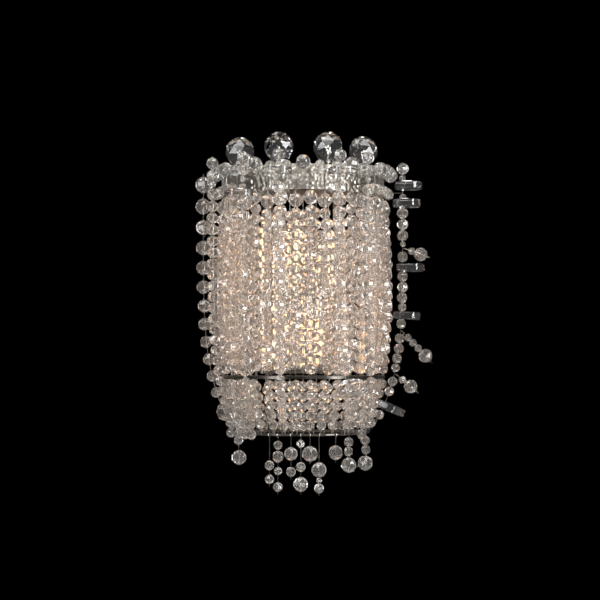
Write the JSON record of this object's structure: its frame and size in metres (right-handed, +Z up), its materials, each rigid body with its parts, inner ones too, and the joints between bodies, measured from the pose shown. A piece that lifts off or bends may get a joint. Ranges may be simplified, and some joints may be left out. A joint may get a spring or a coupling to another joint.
{
  "type": "wall sconce",
  "caption": "Half-oval wall light: bead strands hang from a polished band to a lower ring and basket, with faceted balls on the rim, glass discs and loose tassels",
  "frame": {"origin": "centre of the wall pan's back, on the wall plane", "axes": "+Z up along the longest extent, the wall is the plane Y = 0 and the front faces -Y, +X to the right seen from the front"},
  "size_m": [0.2743, 0.1889, 0.4024],
  "materials": {
    "crystal": "polished",
    "chrome": "polished",
    "zinc_steel": "zinc plated",
    "earth_brass": "green",
    "holder_plastic": "matte",
    "lamp_brass": "plain",
    "bulb_glass": "clear"
  },
  "bodies": {
    "sconce": {"basket_frame": "chrome", "basket_left": "crystal", "basket_right": "crystal", "cap_nuts": "chrome", "crystal_discs": "crystal", "curtain_front_left": "crystal", "curtain_front_right": "crystal", "curtain_left": "crystal", "curtain_right": "crystal", "earth_screw": "earth_brass", "frame_ribs": "chrome", "frame_screws": "chrome", "frame_strap_left": "chrome", "frame_strap_right": "chrome", "lamp_arm": "chrome", "lamp_arm_nuts": "chrome", "lamp_bulb_lower": "bulb_glass", "lamp_bulb_upper": "bulb_glass", "lamp_cap_lower": "lamp_brass", "lamp_cap_upper": "lamp_brass", "lampholder_lower": "holder_plastic", "lampholder_upper": "holder_plastic", "lower_back_bar": "chrome", "lower_ring": "chrome", "mounting_crossbar": "zinc_steel", "mounting_studs": "zinc_steel", "outer_strand_ball_1": "crystal", "outer_strand_ball_2": "crystal", "outer_strand_ball_3": "crystal", "outer_strand_ball_4": "crystal", "outer_strand_left": "crystal", "outer_strand_right": "crystal", "rim_garland": "crystal", "socket_block": "chrome", "strand_ties": "chrome", "swag_strand": "crystal", "top_back_bar": "chrome", "top_ball_1": "crystal", "top_ball_2": "crystal", "top_ball_3": "crystal", "top_ball_4": "crystal", "top_band": "chrome", "wall_pan": "chrome", "wire_spray_lower": "crystal", "wire_spray_middle": "crystal", "wire_spray_upper": "crystal"},
    "tassel_1": {"tassel_1": "crystal"},
    "tassel_2": {"tassel_2": "crystal"},
    "tassel_3": {"tassel_3": "crystal"},
    "tassel_4": {"tassel_4": "crystal"},
    "tassel_5": {"tassel_5": "crystal"},
    "tassel_6": {"tassel_6": "crystal"},
    "tassel_7": {"tassel_7": "crystal"}
  },
  "joints": [
    {"name": "tassel_1_swing", "type": "hinge", "parent": "sconce", "child": "tassel_1", "pos_m": [-0.03721, -0.1078, -0.152], "axis": [-0.8182, 0.5749, 0], "range_deg": [-25, 45]},
    {"name": "tassel_2_swing", "type": "hinge", "parent": "sconce", "child": "tassel_2", "pos_m": [-0.02785, -0.11337, -0.152], "axis": [-0.8967, 0.4427, 0], "range_deg": [-25, 45]},
    {"name": "tassel_3_swing", "type": "hinge", "parent": "sconce", "child": "tassel_3", "pos_m": [-0.01337, -0.11851, -0.152], "axis": [-0.9757, 0.219, 0], "range_deg": [-12, 45]},
    {"name": "tassel_4_swing", "type": "hinge", "parent": "sconce", "child": "tassel_4", "pos_m": [-0.00255, -0.11995, -0.152], "axis": [-0.9991, 0.0422, 0], "range_deg": [-12, 45]},
    {"name": "tassel_5_swing", "type": "hinge", "parent": "sconce", "child": "tassel_5", "pos_m": [0.00765, -0.11952, -0.152], "axis": [-0.992, -0.126, 0], "range_deg": [-30, 45]},
    {"name": "tassel_6_swing", "type": "hinge", "parent": "sconce", "child": "tassel_6", "pos_m": [0.01758, -0.11741, -0.152], "axis": [-0.9582, -0.286, 0], "range_deg": [-20, 45]},
    {"name": "tassel_7_swing", "type": "hinge", "parent": "sconce", "child": "tassel_7", "pos_m": [0.03615, -0.10853, -0.152], "axis": [-0.8282, -0.5605, 0], "range_deg": [-30, 45]}
  ]
}
